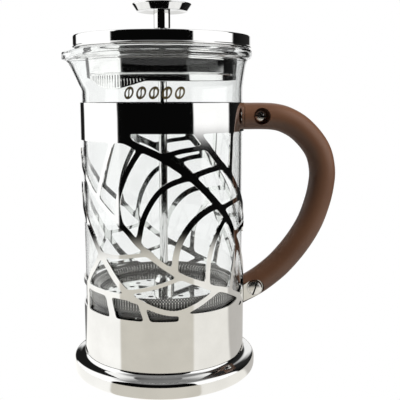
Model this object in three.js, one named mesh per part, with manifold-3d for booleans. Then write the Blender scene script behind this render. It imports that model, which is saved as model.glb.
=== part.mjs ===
// French press: laser-cut steel frame with a D handle, glass beaker, lid and plunger.
// Millimetres, +Z up, origin at the centre of the underside. Handle along +X, spout along -X.
import * as THREE from 'three';
import Module from 'manifold-3d';

const wasm = await Module();
wasm.setup();

// ---- driving dimensions ----
const GAP = 0.3;                 // play kept between touching pieces
const SEG = 48;                  // facets round a large turned piece
const SLEEVE = { r: 49.3, wall: 0.8, foot: 15, lowBand: 45, topBand: 149.5, top: 166, seg: 48 };
const GLASS = { r: 48, wall: 2, foot: 14.7, flareFrom: 176, rimZ: 196.3, rimR: 52.6, beadR: 53.2 };
const SPOUT = { reach: 7.5, tipR: 59.2, drop: 1.8, halfAngle: 36, fromZ: 172 };
const BASE = { flangeR: 56.3, floorZ: 10.2, floorTop: 11.6, insertR: 48.9, cushionR: 38 };
const LID = { r: 52.6, bottom: 197.3, shoulder: 204.3, crown: 208.9, wall: 0.8 };
const STRAINER = { r: 45.2, lowR: 44.3, wall: 0.8, line: 182, edgeZ: 180.6 };
const FRONT_EDGE = { at: -85, half: 90, deep: 3, power: 0.8 };
const SLOTTED_LOBE = { at: -133, half: 29, deep: 5, power: 1.3 };
const ROD = { r: 2.5, bottom: 41, top: 214.6 };
const KNOB = { neckR: 4.9, neckFoot: 209.3, underside: 220.9, rimLowR: 15, rimLowZ: 218.9, rimR: 17.7,
  top: 223.4 };
const FILTER = { r: 45.3, rimZ: 57.4, springR: 42.1, springr: 2.3, springZ: 53.8, plateR: 38.6, hubR: 6.2 };
const GRIP = { r: 8.1, sides: 9, stations: 30 };
const UPPER_SCREW = { x: 59.5, z: 157.7, headR: 3.6, boreR: 5.1, headY: -2.6 };
const LOWER_SCREW = { x: 56.6, z: 50.7, headR: 4.9 };
const TAB = { thick: 2.4, nearY: -4.4, endR: 5.3 };
const COLOUR = {
  mirrorSteel: { color: 0xd6d6d4, roughness: 0.08, metalness: 1 },
  satinSteel: { color: 0xb9b8b4, roughness: 0.3, metalness: 1 },
  glass: { color: 0xe8f0f0, roughness: 0.03, metalness: 0, transparent: true, opacity: 0.35 },
  softTouch: { color: 0x6e4f3f, roughness: 0.6, metalness: 0 },
  silicone: { color: 0xc9c9c4, roughness: 0.7, metalness: 0 },
  plastic: { color: 0x2b2b2b, roughness: 0.5, metalness: 0 },
};

// ---- ribs of the cut-out sleeve: centre lines as [degrees from the handle, height] ----
// They are drawn on the near half and repeated as a mirror image on the far half.
const RIBS = [
  { half: 1.95, line: [[-120, 147], [-108, 142.2], [-95, 137.2], [-84, 131.2], [-75, 125.6],
    [-63, 116.2], [-52, 106.9], [-43, 98.1], [-36, 88.7], [-29, 81.2], [-20, 71.2], [-9, 59.5],
    [1, 50]] },
  { half: 1.8, line: [[-71.5, 150.5], [-62.5, 141.3], [-52, 132], [-43, 125.6], [-36, 119.4],
    [-28, 112.5], [-13, 99.5], [1, 88]] },
  { half: 1.35, line: [[-92, 137.8], [-82, 140], [-74, 141], [-63, 142.3]] },
  { half: 1.5, line: [[-75, 126], [-63, 129], [-50, 130.8]] },
  { half: 1.5, line: [[-51, 107.3], [-40, 109.4], [-28, 110.9]] },
  { half: 1.5, line: [[-75.5, 125.6], [-85, 123.5], [-92.5, 120.3], [-98, 115.6], [-103, 108.8],
    [-106.7, 101.3], [-109.5, 90]] },
  { half: 1.75, line: [[-55, 109], [-63, 106.9], [-70.5, 103.1], [-77, 97.5], [-82.5, 90],
    [-85.2, 82.5], [-86, 74.5]] },
  { half: 1.45, line: [[-181, 138], [-168, 130], [-155, 121.9], [-148, 116.5], [-135, 108],
    [-123, 99.8], [-117, 95.4], [-110, 89], [-101, 83]] },
  { half: 1.6, line: [[-103, 83.6], [-92.5, 76.5], [-81, 70.2], [-69, 65.7], [-60, 62.2], [-47, 58.7],
    [-36, 54.5], [-26, 51]] },
  { half: 1.5, line: [[-107.5, 141], [-114, 132.5], [-119.3, 123.8], [-123, 115], [-124, 107.5],
    [-122, 98.5]] },
  { half: 1.8, line: [[-181, 117], [-172, 109.7], [-164.5, 103.8], [-156, 96.6], [-148, 89.5],
    [-140.5, 81.6], [-133, 74.2], [-126, 66.9], [-119, 61.3], [-113, 57]] },
  { half: 1.5, line: [[-181, 59.6], [-160, 59.4], [-149, 58.9], [-127, 58.4], [-115, 57.6],
    [-109.5, 56.2], [-102, 53.2], [-92.5, 50.5], [-83.5, 49.9], [-72, 52.9], [-63, 56.6], [-55, 60]] },
  { half: 1.15, line: [[-119.5, 61], [-107, 63.1], [-94, 66.2], [-81, 70.2]] },
  { half: 2.2, line: [[-133.3, 58], [-129, 44]] },
  { half: 1.7, line: [[-108, 54], [-104, 44]] },
  { half: 1.8, line: [[-159, 59], [-159, 44]] },
  { half: 1.5, line: [[-49, 100], [-54.5, 93.8], [-59, 86.9], [-61.7, 80], [-62.8, 72.5],
    [-63.3, 64.5]] },
  { half: 1.5, line: [[-33, 84], [-36.3, 73.8], [-39, 66.3], [-41, 57.5]] },
  { half: 1.4, line: [[-38, 90], [-25.5, 92.5], [-15, 94.4], [-6, 95.5]] },
  { half: 1.4, line: [[-40.5, 151], [-42.3, 126]] },
  { half: 1.5, line: [[-159.5, 59.5], [-152.5, 67], [-146, 73.3], [-140, 80]] },
  { half: 2.3, line: [[-81, 46.6], [-60, 46], [-43, 46.2], [-31, 48], [-18, 51.4], [-7, 52.8],
    [2, 52.8]] },
  { half: 3.1, line: [[-20, 49], [-8, 48], [2, 48]] },
  { half: 1.3, line: [[-127.5, 146], [-130.8, 138.6], [-137.7, 123.5], [-141.5, 113.5]] },
  { half: 1.1, line: [[-141, 81.2], [-130, 80.6], [-120.8, 81.2], [-103, 83.6]] },
  { half: 2.7, line: [[-181, 147.1], [-149, 147.1], [-117, 147.1]] },
];

// ---- helpers ----
const rad = (deg) => deg * Math.PI / 180;

function toManifold(geometry) {
  const positions = geometry.attributes.position;
  const index = geometry.index ? geometry.index.array : [...Array(positions.count).keys()];
  const seen = new Map();
  const coordinates = [];
  const remap = [];
  for (let i = 0; i < positions.count; i += 1) {
    const point = [positions.getX(i), positions.getY(i), positions.getZ(i)];
    const key = point.map((v) => Math.round(v * 1e4)).join();
    if (!seen.has(key)) {
      seen.set(key, coordinates.length / 3);
      coordinates.push(...point);
    }
    remap.push(seen.get(key));
  }
  const triangles = [];
  for (let i = 0; i < index.length; i += 3) {
    const [a, b, c] = [remap[index[i]], remap[index[i + 1]], remap[index[i + 2]]];
    if (a !== b && b !== c && c !== a) triangles.push(a, b, c);
  }
  return new wasm.Manifold(new wasm.Mesh({
    numProp: 3,
    vertProperties: new Float32Array(coordinates),
    triVerts: new Uint32Array(triangles),
  }));
}

function fromManifold(solid) {
  const mesh = solid.getMesh();
  const geometry = new THREE.BufferGeometry();
  geometry.setAttribute('position', new THREE.BufferAttribute(new Float32Array(mesh.vertProperties), 3));
  geometry.setIndex([...mesh.triVerts]);
  geometry.computeVertexNormals();
  return geometry;
}

// Turned solid about Z: profile points are [radius, height], listed bottom axis to top axis
// (or round a closed ring, with the first point repeated at the end).
function turned(profile, segments = SEG) {
  const points = profile.map(([r, z]) => new THREE.Vector2(Math.max(r, 0), z));
  const geometry = new THREE.LatheGeometry(points, segments);
  geometry.rotateX(Math.PI / 2);
  return geometry;
}

function ring(inner, outer, low, high, segments = SEG) {
  return turned([[inner, low], [outer, low], [outer, high], [inner, high], [inner, low]], segments);
}

function cylinder(radius, low, high, segments = 24) {
  return turned([[0, low], [radius, low], [radius, high], [0, high]], segments);
}

// A round bar along Y, for screws and their holes in the handle plane.
function crossBar(x, z, radius, lowY, highY, segments = 24) {
  const geometry = cylinder(radius, -highY, -lowY, segments);
  geometry.rotateX(Math.PI / 2);
  geometry.translate(x, 0, z);
  return geometry;
}

function block(sizeX, sizeY, sizeZ, x, y, z) {
  const geometry = new THREE.BoxGeometry(sizeX, sizeY, sizeZ);
  geometry.translate(x, y, z);
  return geometry;
}

function part(name, geometry, look) {
  const mesh = new THREE.Mesh(geometry, new THREE.MeshStandardMaterial(COLOUR[look]));
  mesh.name = name;
  return mesh;
}

function cut(solid, cutters) {
  return cutters.reduce((body, cutter) => body.subtract(toManifold(cutter)), solid);
}

// ---- sleeve ----
// A rib as a radial wall: its outline is offset to both sides on the unrolled sleeve.
function ribWall(rib, mirror) {
  const curve = new THREE.CatmullRomCurve3(
    rib.line.map(([deg, z]) => new THREE.Vector3(rad(deg) * SLEEVE.r, z, 0)), false, 'centripetal');
  const span = Math.abs(rib.line[rib.line.length - 1][0] - rib.line[0][0]);
  const stations = Math.max(rib.line.length - 1, Math.ceil(span / 10));
  const rows = [];
  for (let i = 0; i <= stations; i += 1) {
    const point = curve.getPoint(i / stations);
    const tangent = curve.getTangent(i / stations);
    const side = [-tangent.y * rib.half, tangent.x * rib.half];
    rows.push([-1, 1].flatMap((sign) => [SLEEVE.r - 3, SLEEVE.r + 4].map((radius) => {
      const angle = (point.x + sign * side[0]) / SLEEVE.r * (mirror ? -1 : 1);
      return [radius * Math.cos(angle), radius * Math.sin(angle), point.y + sign * side[1]];
    })));
  }
  return stripSolid(rows, mirror);
}

// Closed strip from rows of four corners: [near inner, near outer, far inner, far outer].
function stripSolid(rows, flip) {
  const order = [0, 1, 3, 2];
  const faces = [];
  rows.slice(1).forEach((row, i) => {
    const before = i * 4;
    const after = before + 4;
    order.forEach((corner, k) => {
      const next = order[(k + 1) % 4];
      faces.push([before + corner, after + corner, after + next]);
      faces.push([before + corner, after + next, before + next]);
    });
  });
  const last = (rows.length - 1) * 4;
  faces.push([0, 1, 3], [0, 3, 2], [last, last + 3, last + 1], [last, last + 2, last + 3]);
  const geometry = new THREE.BufferGeometry();
  geometry.setAttribute('position', new THREE.Float32BufferAttribute(rows.flat(2), 3));
  geometry.setIndex(faces.flatMap(([a, b, c]) => (flip ? [a, c, b] : [a, b, c])));
  return geometry;
}

function sleeveGeometry() {
  const tube = toManifold(ring(SLEEVE.r - SLEEVE.wall, SLEEVE.r, SLEEVE.foot, SLEEVE.top, SLEEVE.seg));
  let windows = toManifold(ring(SLEEVE.r - 2, SLEEVE.r + 2, SLEEVE.lowBand, SLEEVE.topBand, SLEEVE.seg));
  for (const rib of RIBS) {
    for (const mirror of [false, true]) {
      windows = windows.subtract(toManifold(ribWall(rib, mirror)));
    }
  }
  return fromManifold(tube.subtract(windows).simplify(0.02));
}

// ---- base ----
function baseRingGeometry() {
  return turned([[0, BASE.floorZ], [BASE.insertR + GAP, BASE.floorZ], [BASE.insertR + GAP, 0.4],
    [50.8, 0.4], [54.4, 2], [BASE.flangeR, 6.2], [55.6, 9.4], [52.4, 11.9], [SLEEVE.r, SLEEVE.foot - GAP],
    [48.1, SLEEVE.foot - GAP], [48.1, 16.4],
    [46.9, 16.4], [46.9, BASE.floorTop], [0, BASE.floorTop]]);
}

function insertGeometry() {
  return turned([[0, 0], [47.6, 0], [BASE.insertR, 1], [BASE.insertR, BASE.floorZ - GAP],
    [0, BASE.floorZ - GAP]], 48);
}

// ---- glass ----
function glassGeometry() {
  const { r, wall, foot, flareFrom, rimZ, rimR, beadR } = GLASS;
  const outer = [[0, foot], [38.5, foot], [43, 15.8], [46.2, 18.8], [47.6, 22.4], [r, 27],
    [r, flareFrom - 4], [r + 0.2, flareFrom], [48.9, 182], [49.9, 188], [50.9, 190.8], [beadR - 0.6, 191.8],
    [beadR, 193.2], [beadR, rimZ - 1.1], [rimR - 0.1, rimZ]];
  const inner = [[rimR - 2, rimZ - 0.2], [49.6, 193], [47.9, 187.4], [46.9, 181.6], [46.2, flareFrom],
    [r - wall, flareFrom - 4], [r - wall, 27], [45.5, 22.4], [43.6, 19.4], [40.8, 17.4],
    [37.5, 16.7], [0, 16.7]];
  const geometry = turned([...outer, ...inner]);
  const positions = geometry.attributes.position;
  for (let i = 0; i < positions.count; i += 1) {
    const [x, y, z] = [positions.getX(i), positions.getY(i), positions.getZ(i)];
    const lift = (z - SPOUT.fromZ) / (rimZ - SPOUT.fromZ);
    const offAxis = Math.abs(Math.atan2(y, -x)) / rad(SPOUT.halfAngle);
    if (lift > 0 && offAxis < 1) {
      const share = Math.cos(offAxis * Math.PI / 2) ** 2;
      const radius = Math.hypot(x, y);
      const reach = share * Math.min(SPOUT.reach * lift ** 0.92, SPOUT.tipR - radius);
      const push = (radius + reach) / radius;
      const drop = share * SPOUT.drop * Math.max(0, lift - 0.6) / 0.4;
      positions.setXYZ(i, x * push, y * push, z - drop);
    }
  }
  return geometry;
}

// ---- lid ----
function coverGeometry() {
  const { r, bottom, shoulder, crown, wall } = LID;
  const dome = [[r - 0.5, shoulder], [42, shoulder + 0.65], [30, shoulder + 1.8], [15, crown - 1.4],
    [4.7, crown]];
  const lining = [[4.7, crown - wall], [15, crown - 1.4 - wall], [30, shoulder + 1.8 - wall],
    [42, shoulder + 0.65 - wall], [r - 1.5, shoulder - wall]];
  return turned([...lining, [r - 1, shoulder - 1.4], [r - 1, bottom], [r, bottom], [r, shoulder - 0.5],
    ...dome, lining[0]]);
}

function guideGeometry() {
  const bore = ROD.r + GAP;
  return turned([[bore, 203], [4.3, 203], [4.3, 205.6], [8, 205.6], [8, 207], [4.3, 207], [4.3, 208.8],
    [bore, 208.8], [bore, 203]], 24);
}

// How far one feature lets the strainer's lower edge down at an angle in degrees.
function edgeDrop(feature, degrees) {
  const turn = rad(degrees - feature.at);
  const away = Math.abs(Math.atan2(Math.sin(turn), Math.cos(turn))) / rad(feature.half);
  return away < 1 ? feature.deep * Math.cos(away * Math.PI / 2) ** feature.power : 0;
}

function strainerEdge(degrees) {
  return STRAINER.edgeZ - edgeDrop(FRONT_EDGE, degrees) - edgeDrop(SLOTTED_LOBE, degrees);
}

function strainerGeometry() {
  const { r, lowR, wall, line, edgeZ } = STRAINER;
  const geometry = turned([[lowR - wall, edgeZ], [lowR, edgeZ], [lowR, line - 0.4], [lowR + 0.3, line],
    [lowR, line + 0.4], [r, 195], [r + 1, 196.7], [51, 196.7], [51, 197.4], [r - wall, 197.4],
    [r - wall, 195], [lowR - wall, line + 0.4], [lowR - wall, edgeZ]], 60);
  const positions = geometry.attributes.position;
  for (let i = 0; i < positions.count; i += 1) {
    const [x, y, z] = [positions.getX(i), positions.getY(i), positions.getZ(i)];
    if (z < edgeZ + 0.1) {
      positions.setZ(i, strainerEdge(Math.atan2(y, x) * 180 / Math.PI));
    }
  }
  const slots = [];
  for (let away = -24; away <= 27.2; away += 3.2) {
    const low = strainerEdge(SLOTTED_LOBE.at + away) + 1.1;
    const slot = block(4, 0.8, line - 0.9 - low, lowR - 0.4, 0, (line - 0.9 + low) / 2);
    slot.rotateZ(rad(SLOTTED_LOBE.at + away));
    slots.push(slot);
  }
  return fromManifold(cut(toManifold(geometry), slots));
}

// ---- plunger ----
function knobDishGeometry() {
  const { underside, rimLowR, rimLowZ, rimR, top } = KNOB;
  return turned([[0, underside], [5.5, underside - 0.1], [10, underside - 0.6], [14, rimLowZ + 0.3],
    [rimLowR, rimLowZ], [rimR, top - 0.5], [rimR - 0.2, top], [16.6, top], [12, top - 0.5],
    [6, top - 0.8], [0, top - 0.9]], 32);
}

function knobNeckGeometry() {
  const { neckR, neckFoot, underside } = KNOB;
  const bore = ROD.r + GAP;
  return turned([[bore, neckFoot], [neckR, neckFoot], [neckR, underside - GAP], [0, underside - GAP],
    [0, ROD.top + GAP], [bore, ROD.top + GAP], [bore, neckFoot]], 28);
}

// ---- filter ----
function perforated(disc, z, rings) {
  const drills = rings.flatMap(({ count, at, r }) => [...Array(count).keys()].map((k) => {
    const drill = cylinder(r, z - 3, z + 3, 8);
    const angle = (k + 0.5) / count * 2 * Math.PI;
    drill.translate(at * Math.cos(angle), at * Math.sin(angle), 0);
    return drill;
  }));
  return fromManifold(cut(toManifold(disc), drills));
}

function filterMeshGeometry() {
  const { r, rimZ } = FILTER;
  return turned([[ROD.r + GAP, 46], [38, 46], [42.5, 46.2], [44.7, 47.6], [r, 49.6], [r, rimZ],
    [r - 0.5, rimZ], [r - 0.5, 49.9], [44.3, 48.1], [42.3, 46.7], [38, 46.5], [ROD.r + GAP, 46.5],
    [ROD.r + GAP, 46]]);
}

function hubGeometry() {
  const bore = ROD.r + GAP;
  const { hubR } = FILTER;
  return turned([[bore, 46.8], [hubR + 1.3, 46.8], [hubR + 1.3, 49.9], [hubR, 49.9], [hubR, 56], [4.4, 58.8],
    [bore, 58.8], [bore, 46.8]], 28);
}

function nutGeometry() {
  const hexagon = cylinder(5.8, 41.4, 44.5, 6);
  return fromManifold(cut(toManifold(hexagon), [cylinder(ROD.r + GAP, 40, 46, 16)]));
}

function springGeometry() {
  const torus = new THREE.TorusGeometry(FILTER.springR, FILTER.springr, 8, 40);
  torus.translate(0, 0, FILTER.springZ);
  return torus;
}

// ---- handle ----
function gripGeometry() {
  const centreLine = [[47, 157.7], [60.5, 157.7], [68.5, 157.2], [75.6, 155.3], [84, 150.6], [91.9, 142.8],
    [97, 134.6], [99.3, 124.8], [99.1, 116], [96.8, 104.5], [91.9, 90.9], [84, 77.9], [74, 66], [65.5, 58.6],
    [57, 52.8], [46, 47.2]];
  const path = new THREE.CatmullRomCurve3(centreLine.map(([x, z]) => new THREE.Vector3(x, 0, z)));
  const section = new THREE.Shape();
  section.absarc(0, 0, GRIP.r, 0, 2 * Math.PI, false);
  const tube = new THREE.ExtrudeGeometry(section,
    { steps: GRIP.stations, curveSegments: GRIP.sides, extrudePath: path, bevelEnabled: false });
  const { x, z, headR, boreR, headY } = UPPER_SCREW;
  const lowX = LOWER_SCREW.x;
  const lowZ = LOWER_SCREW.z;
  return fromManifold(cut(toManifold(tube), [
    ring(30, SLEEVE.r + GAP, 20, 190, SLEEVE.seg),
    crossBar(x, z, boreR, -20, headY + GAP),
    crossBar(x, z, 2.3, -20, 6.2, 16),
    block(22, TAB.thick + 2 * GAP, 9 + 2 * GAP, 57, 0.4, z),
    crossBar(lowX, lowZ, TAB.endR + 0.6, -20, TAB.nearY + TAB.thick + GAP),
    tabOutline(0.6, -20, TAB.nearY + TAB.thick + GAP),
    crossBar(lowX, lowZ, 2.3, -20, 4.6, 16),
  ]));
}

// The lower tab runs from the sleeve to the lower screw, its end rounded about the screw.
function tabOutline(margin, lowY, highY) {
  const { x, z } = LOWER_SCREW;
  const r = TAB.endR + margin;
  const shape = new THREE.Shape();
  shape.moveTo(SLEEVE.r + GAP - margin * 3, 52.4 + margin * 2);
  shape.lineTo(SLEEVE.r + GAP - margin * 3, 41.9 - margin * 3);
  shape.lineTo(x + r * Math.sin(rad(25)), z - r * Math.cos(rad(25)));
  shape.absarc(x, z, r, rad(-65), rad(115), false);
  shape.closePath();
  const geometry = new THREE.ExtrudeGeometry(shape,
    { depth: highY - lowY, bevelEnabled: false, curveSegments: 16 });
  geometry.rotateX(Math.PI / 2);
  geometry.translate(0, highY, 0);
  return geometry;
}

function lowerTabGeometry() {
  const outline = tabOutline(0, TAB.nearY, TAB.nearY + TAB.thick);
  return fromManifold(cut(toManifold(outline), [
    ring(30, SLEEVE.r + GAP, 20, 190, SLEEVE.seg),
    crossBar(LOWER_SCREW.x, LOWER_SCREW.z, 2.3, -20, 20, 16),
  ]));
}

function upperTabGeometry() {
  const plate = block(18.2, TAB.thick, 9, 58, 0.4, UPPER_SCREW.z);
  return fromManifold(cut(toManifold(plate), [
    ring(30, SLEEVE.r + GAP, 20, 190, SLEEVE.seg),
    crossBar(UPPER_SCREW.x, UPPER_SCREW.z, 2.3, -20, 20, 16),
  ]));
}

// Round-headed slotted screw along Y: head facing -Y, its underside at headY.
function screwGeometry(x, z, headR, headY, tipY) {
  const rise = headR * 0.42;
  const profile = [[0, -tipY], [2, -tipY], [2, -headY], [headR, -headY], [headR, -headY + rise * 0.45],
    [headR * 0.86, -headY + rise * 0.8], [headR * 0.5, -headY + rise], [0, -headY + rise * 1.05]];
  const screw = turned(profile, 24);
  screw.rotateX(Math.PI / 2);
  screw.translate(x, 0, z);
  const slot = block(headR * 3, 1.2, 0.9, 0, headY - rise * 1.05, 0);
  slot.rotateY(rad(headR > 4 ? -72 : 5));
  slot.translate(x, 0, z);
  return fromManifold(cut(toManifold(screw), [slot]));
}

// ---- assembly ----
const press = new THREE.Group();
press.name = 'french_press';
press.add(
  part('frame_sleeve', sleeveGeometry(), 'mirrorSteel'),
  part('base_ring', baseRingGeometry(), 'mirrorSteel'),
  part('base_insert', insertGeometry(), 'plastic'),
  part('base_cushion', cylinder(BASE.cushionR, BASE.floorTop + GAP, GLASS.foot - GAP, 48), 'silicone'),
  part('upper_bracket', upperTabGeometry(), 'satinSteel'),
  part('lower_bracket', lowerTabGeometry(), 'satinSteel'),
  part('handle_grip', gripGeometry(), 'softTouch'),
  part('upper_handle_screw',
    screwGeometry(UPPER_SCREW.x, UPPER_SCREW.z, UPPER_SCREW.headR, UPPER_SCREW.headY, 5.8), 'mirrorSteel'),
  part('lower_handle_screw',
    screwGeometry(LOWER_SCREW.x, LOWER_SCREW.z, LOWER_SCREW.headR, TAB.nearY - GAP, 4.2), 'mirrorSteel'),
  part('glass_beaker', glassGeometry(), 'glass'),
  part('lid_cover', coverGeometry(), 'mirrorSteel'),
  part('rod_guide', guideGeometry(), 'satinSteel'),
  part('lid_strainer', strainerGeometry(), 'mirrorSteel'),
  part('knob_dish', knobDishGeometry(), 'mirrorSteel'),
  part('knob_neck', knobNeckGeometry(), 'mirrorSteel'),
  part('plunger_rod', cylinder(ROD.r, ROD.bottom, ROD.top, 20), 'mirrorSteel'),
  part('filter_hub', hubGeometry(), 'satinSteel'),
  part('filter_top_plate', perforated(ring(FILTER.hubR + GAP, FILTER.plateR, 50.2, 51.1), 50.6,
    [{ count: 14, at: 20.5, r: 1.6 }, { count: 18, at: 31.5, r: 1.6 }]), 'mirrorSteel'),
  part('filter_spring', springGeometry(), 'satinSteel'),
  part('filter_mesh', filterMeshGeometry(), 'satinSteel'),
  part('filter_bottom_plate', perforated(ring(ROD.r + GAP, 36, 44.8, 45.6), 45.2,
    [{ count: 12, at: 24, r: 2.4 }]), 'satinSteel'),
  part('filter_nut', nutGeometry(), 'satinSteel'),
);

export default press;
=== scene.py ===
"""French press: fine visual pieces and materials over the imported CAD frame. Metres, +Z up."""
import math

import bmesh
import bpy
import numpy as np
from mathutils import Matrix, Vector


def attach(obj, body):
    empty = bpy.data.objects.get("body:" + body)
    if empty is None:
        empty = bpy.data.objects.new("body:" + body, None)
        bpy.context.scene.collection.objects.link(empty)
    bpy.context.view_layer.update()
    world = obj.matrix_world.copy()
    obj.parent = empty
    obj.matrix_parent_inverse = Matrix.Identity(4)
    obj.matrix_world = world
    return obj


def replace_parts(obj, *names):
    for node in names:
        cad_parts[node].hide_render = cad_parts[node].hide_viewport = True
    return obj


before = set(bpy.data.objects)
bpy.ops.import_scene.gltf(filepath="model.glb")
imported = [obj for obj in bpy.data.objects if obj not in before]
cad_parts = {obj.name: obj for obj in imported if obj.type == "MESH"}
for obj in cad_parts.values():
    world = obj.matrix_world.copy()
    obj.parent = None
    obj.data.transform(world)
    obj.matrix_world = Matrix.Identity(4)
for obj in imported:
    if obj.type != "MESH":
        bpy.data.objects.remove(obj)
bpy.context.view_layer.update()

MM = 0.001
TURN = 2 * math.pi
WELD = 1e-7      # metres: points closer than this are one
CRISP = 32.0     # degrees: edges sharper than this stay crisp

# ---- main sizes, in millimetres and degrees; the outlines below add the small details ----
SLEEVE_R, SLEEVE_WALL = 49.3, 0.8
SLEEVE_FOOT, LOW_BAND, TOP_BAND, SLEEVE_TOP = 15.0, 45.0, 149.5, 166.0
FOOT_TOP, FOOT_LOW = 14.7, 0.4
GLASS_R, GLASS_BORE, GLASS_FOOT, GLASS_FLOOR = 48.0, 46.4, 14.7, 16.7
RIM_Z, RIM_R, BEAD_R = 196.3, 52.6, 53.2
SPOUT_REACH, SPOUT_TIP, SPOUT_DROP, SPOUT_HALF, SPOUT_FROM = 7.5, 59.2, 1.8, math.radians(36), 172.0
LID_R, LID_BOTTOM, LID_SHOULDER, LID_CROWN, LID_HOLE = 52.6, 197.3, 204.3, 208.9, 4.7
BUSH_R, BUSH_LOW, BUSH_HIGH = 4.3, 203.0, 208.8
FLANGE_R, FLANGE_LOW, FLANGE_HIGH = 8.0, 205.6, 207.0
STRAINER_R, STRAINER_LOW_R, STRAINER_WALL, STRAINER_EDGE, STRAINER_LINE = 45.2, 44.3, 0.8, 180.6, 182.0
LOBE_AT = -133.0
EDGE_DROPS = [(-85.0, 90.0, 3.0, 0.8), (LOBE_AT, 29.0, 5.0, 1.3)]   # centre, half width, depth, power
SLOTS_BEFORE, SLOTS_AFTER, SLOT_PITCH, SLOT_HALF = 9, 11, 2.45, 0.32
ROD_R, ROD_BORE, ROD_LOW, ROD_HIGH = 2.5, 2.8, 41.0, 214.6
NECK_R, NECK_LOW, NECK_HIGH = 4.9, 209.3, 220.6
BOSS_R, BOSS_FOOT_R, BOSS_LOW, BOSS_HIGH = 6.2, 7.5, 46.8, 58.8
SPRING_R, SPRING_MINOR, SPRING_Z = 42.1, 2.6, 53.9
NUT_R, NUT_LOW, NUT_HIGH, NUT_BEVEL, THREAD_R = 5.75, 41.4, 44.5, 0.35, 2.75
GRIP_R = 8.1
TAB_X, TAB_Z, TAB_R = 56.6, 50.7, 5.3         # lower screw's place, and the tab's round end
BORE_X, BORE_Z, BORE_R = 59.5, 157.7, 5.1     # upper screw's place, and its counterbore
SCREW_HOLE_R = 2.3
BEANS, BEAN_PITCH, BEANS_AT, BEANS_Z, BEAN_TILT = 5, 8.3, -98.5, 171.4, math.radians(62)
BEAN_LONG, BEAN_WIDE, BEAN_HOLE, CREASE_HALF, CREASE_WIDE = 3.6, 2.55, 0.64, 2.8, 0.42

# Ribs of the cut-out sleeve: half width, then centre line as (degrees from the handle, height).
# The near half is listed; the far half is its mirror image in the handle's plane.
RIBS = [
    (1.95, [(-120, 147), (-108, 142.2), (-95, 137.2), (-84, 131.2), (-75, 125.6), (-63, 116.2),
           (-52, 106.9), (-43, 98.1), (-36, 88.7), (-29, 81.2), (-20, 71.2), (-9, 59.5), (1, 50)]),
    (1.8, [(-71.5, 150.5), (-62.5, 141.3), (-52, 132), (-43, 125.6), (-36, 119.4), (-28, 112.5),
           (-13, 99.5), (1, 88)]),
    (1.35, [(-92, 137.8), (-82, 140), (-74, 141), (-63, 142.3)]),
    (1.5, [(-75, 126), (-63, 129), (-50, 130.8)]),
    (1.5, [(-51, 107.3), (-40, 109.4), (-28, 110.9)]),
    (1.5, [(-75.5, 125.6), (-85, 123.5), (-92.5, 120.3), (-98, 115.6), (-103, 108.8), (-106.7, 101.3),
           (-109.5, 90)]),
    (1.75, [(-55, 109), (-63, 106.9), (-70.5, 103.1), (-77, 97.5), (-82.5, 90), (-85.2, 82.5),
           (-86, 74.5)]),
    (1.45, [(-181, 138), (-168, 130), (-155, 121.9), (-148, 116.5), (-135, 108), (-123, 99.8),
           (-117, 95.4), (-110, 89), (-101, 83)]),
    (1.6, [(-103, 83.6), (-92.5, 76.5), (-81, 70.2), (-69, 65.7), (-60, 62.2), (-47, 58.7), (-36, 54.5),
           (-26, 51)]),
    (1.5, [(-107.5, 141), (-114, 132.5), (-119.3, 123.8), (-123, 115), (-124, 107.5), (-122, 98.5)]),
    (1.8, [(-181, 117), (-172, 109.7), (-164.5, 103.8), (-156, 96.6), (-148, 89.5), (-140.5, 81.6),
           (-133, 74.2), (-126, 66.9), (-119, 61.3), (-113, 57)]),
    (1.5, [(-181, 59.6), (-160, 59.4), (-149, 58.9), (-127, 58.4), (-115, 57.6), (-109.5, 56.2),
           (-102, 53.2), (-92.5, 50.5), (-83.5, 49.9), (-72, 52.9), (-63, 56.6), (-55, 60)]),
    (1.15, [(-119.5, 61), (-107, 63.1), (-94, 66.2), (-81, 70.2)]),
    (2.2, [(-133.3, 58), (-129, 44)]),
    (1.7, [(-108, 54), (-104, 44)]),
    (1.8, [(-159, 59), (-159, 44)]),
    (1.5, [(-49, 100), (-54.5, 93.8), (-59, 86.9), (-61.7, 80), (-62.8, 72.5), (-63.3, 64.5)]),
    (1.5, [(-33, 84), (-36.3, 73.8), (-39, 66.3), (-41, 57.5)]),
    (1.4, [(-38, 90), (-25.5, 92.5), (-15, 94.4), (-6, 95.5)]),
    (1.4, [(-40.5, 151), (-42.3, 126)]),
    (1.5, [(-159.5, 59.5), (-152.5, 67), (-146, 73.3), (-140, 80)]),
    (2.3, [(-81, 46.6), (-60, 46), (-43, 46.2), (-31, 48), (-18, 51.4), (-7, 52.8), (2, 52.8)]),
    (3.1, [(-20, 49), (-8, 48), (2, 48)]),
    (1.3, [(-127.5, 146), (-130.8, 138.6), (-137.7, 123.5), (-141.5, 113.5)]),
    (1.1, [(-141, 81.2), (-130, 80.6), (-120.8, 81.2), (-103, 83.6)]),
    (2.7, [(-181, 147.1), (-149, 147.1), (-117, 147.1)]),
]


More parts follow.
